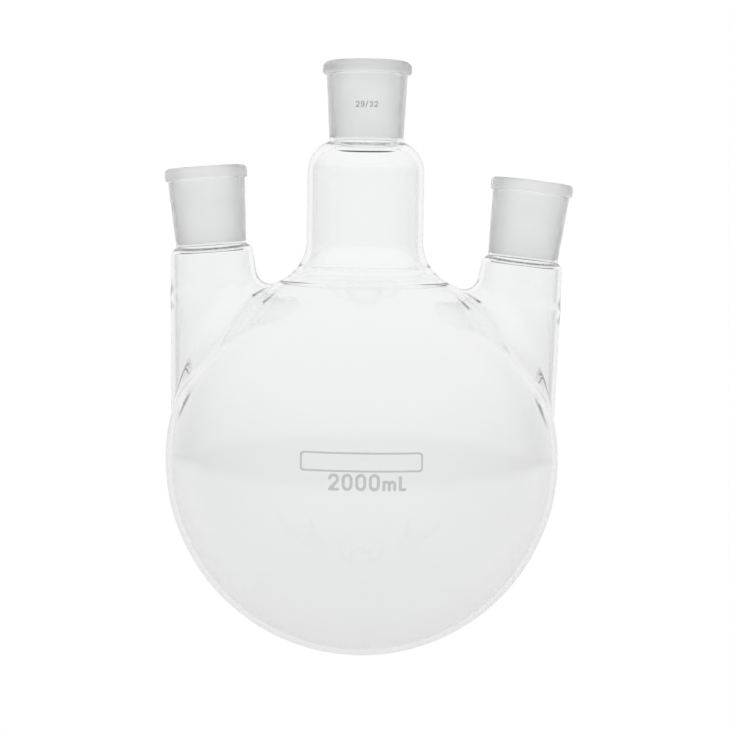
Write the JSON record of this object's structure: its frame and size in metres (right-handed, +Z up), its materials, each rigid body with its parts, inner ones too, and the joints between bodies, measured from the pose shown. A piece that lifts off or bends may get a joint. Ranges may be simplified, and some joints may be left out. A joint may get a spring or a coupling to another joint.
{
  "type": "three-neck round bottom flask",
  "caption": "Round bottom flask of clear glass with a wide straight centre neck, slanted side necks and ground conical sockets.",
  "frame": {"origin": "lowest point of the bulb, on the axis of the centre neck", "axes": "+Z up along the centre neck, side necks along X with the taller left one at -X, printed marks on the -Y side"},
  "size_m": [0.1716, 0.1661, 0.25],
  "materials": {
    "clear_glass": "clear, polished by the flame",
    "ground_glass": "clear outside, bore ground matt",
    "fired_enamel": "thin matt white enamel, fired on"
  },
  "bodies": {
    "root": {"flask_bulb": "clear_glass", "centre_neck": "clear_glass", "left_neck": "clear_glass", "right_neck": "clear_glass", "centre_socket": "ground_glass", "left_socket": "ground_glass", "right_socket": "ground_glass", "capacity_mark": "fired_enamel", "marking_panel": "fired_enamel", "joint_size_mark": "fired_enamel"}
  },
  "joints": []
}
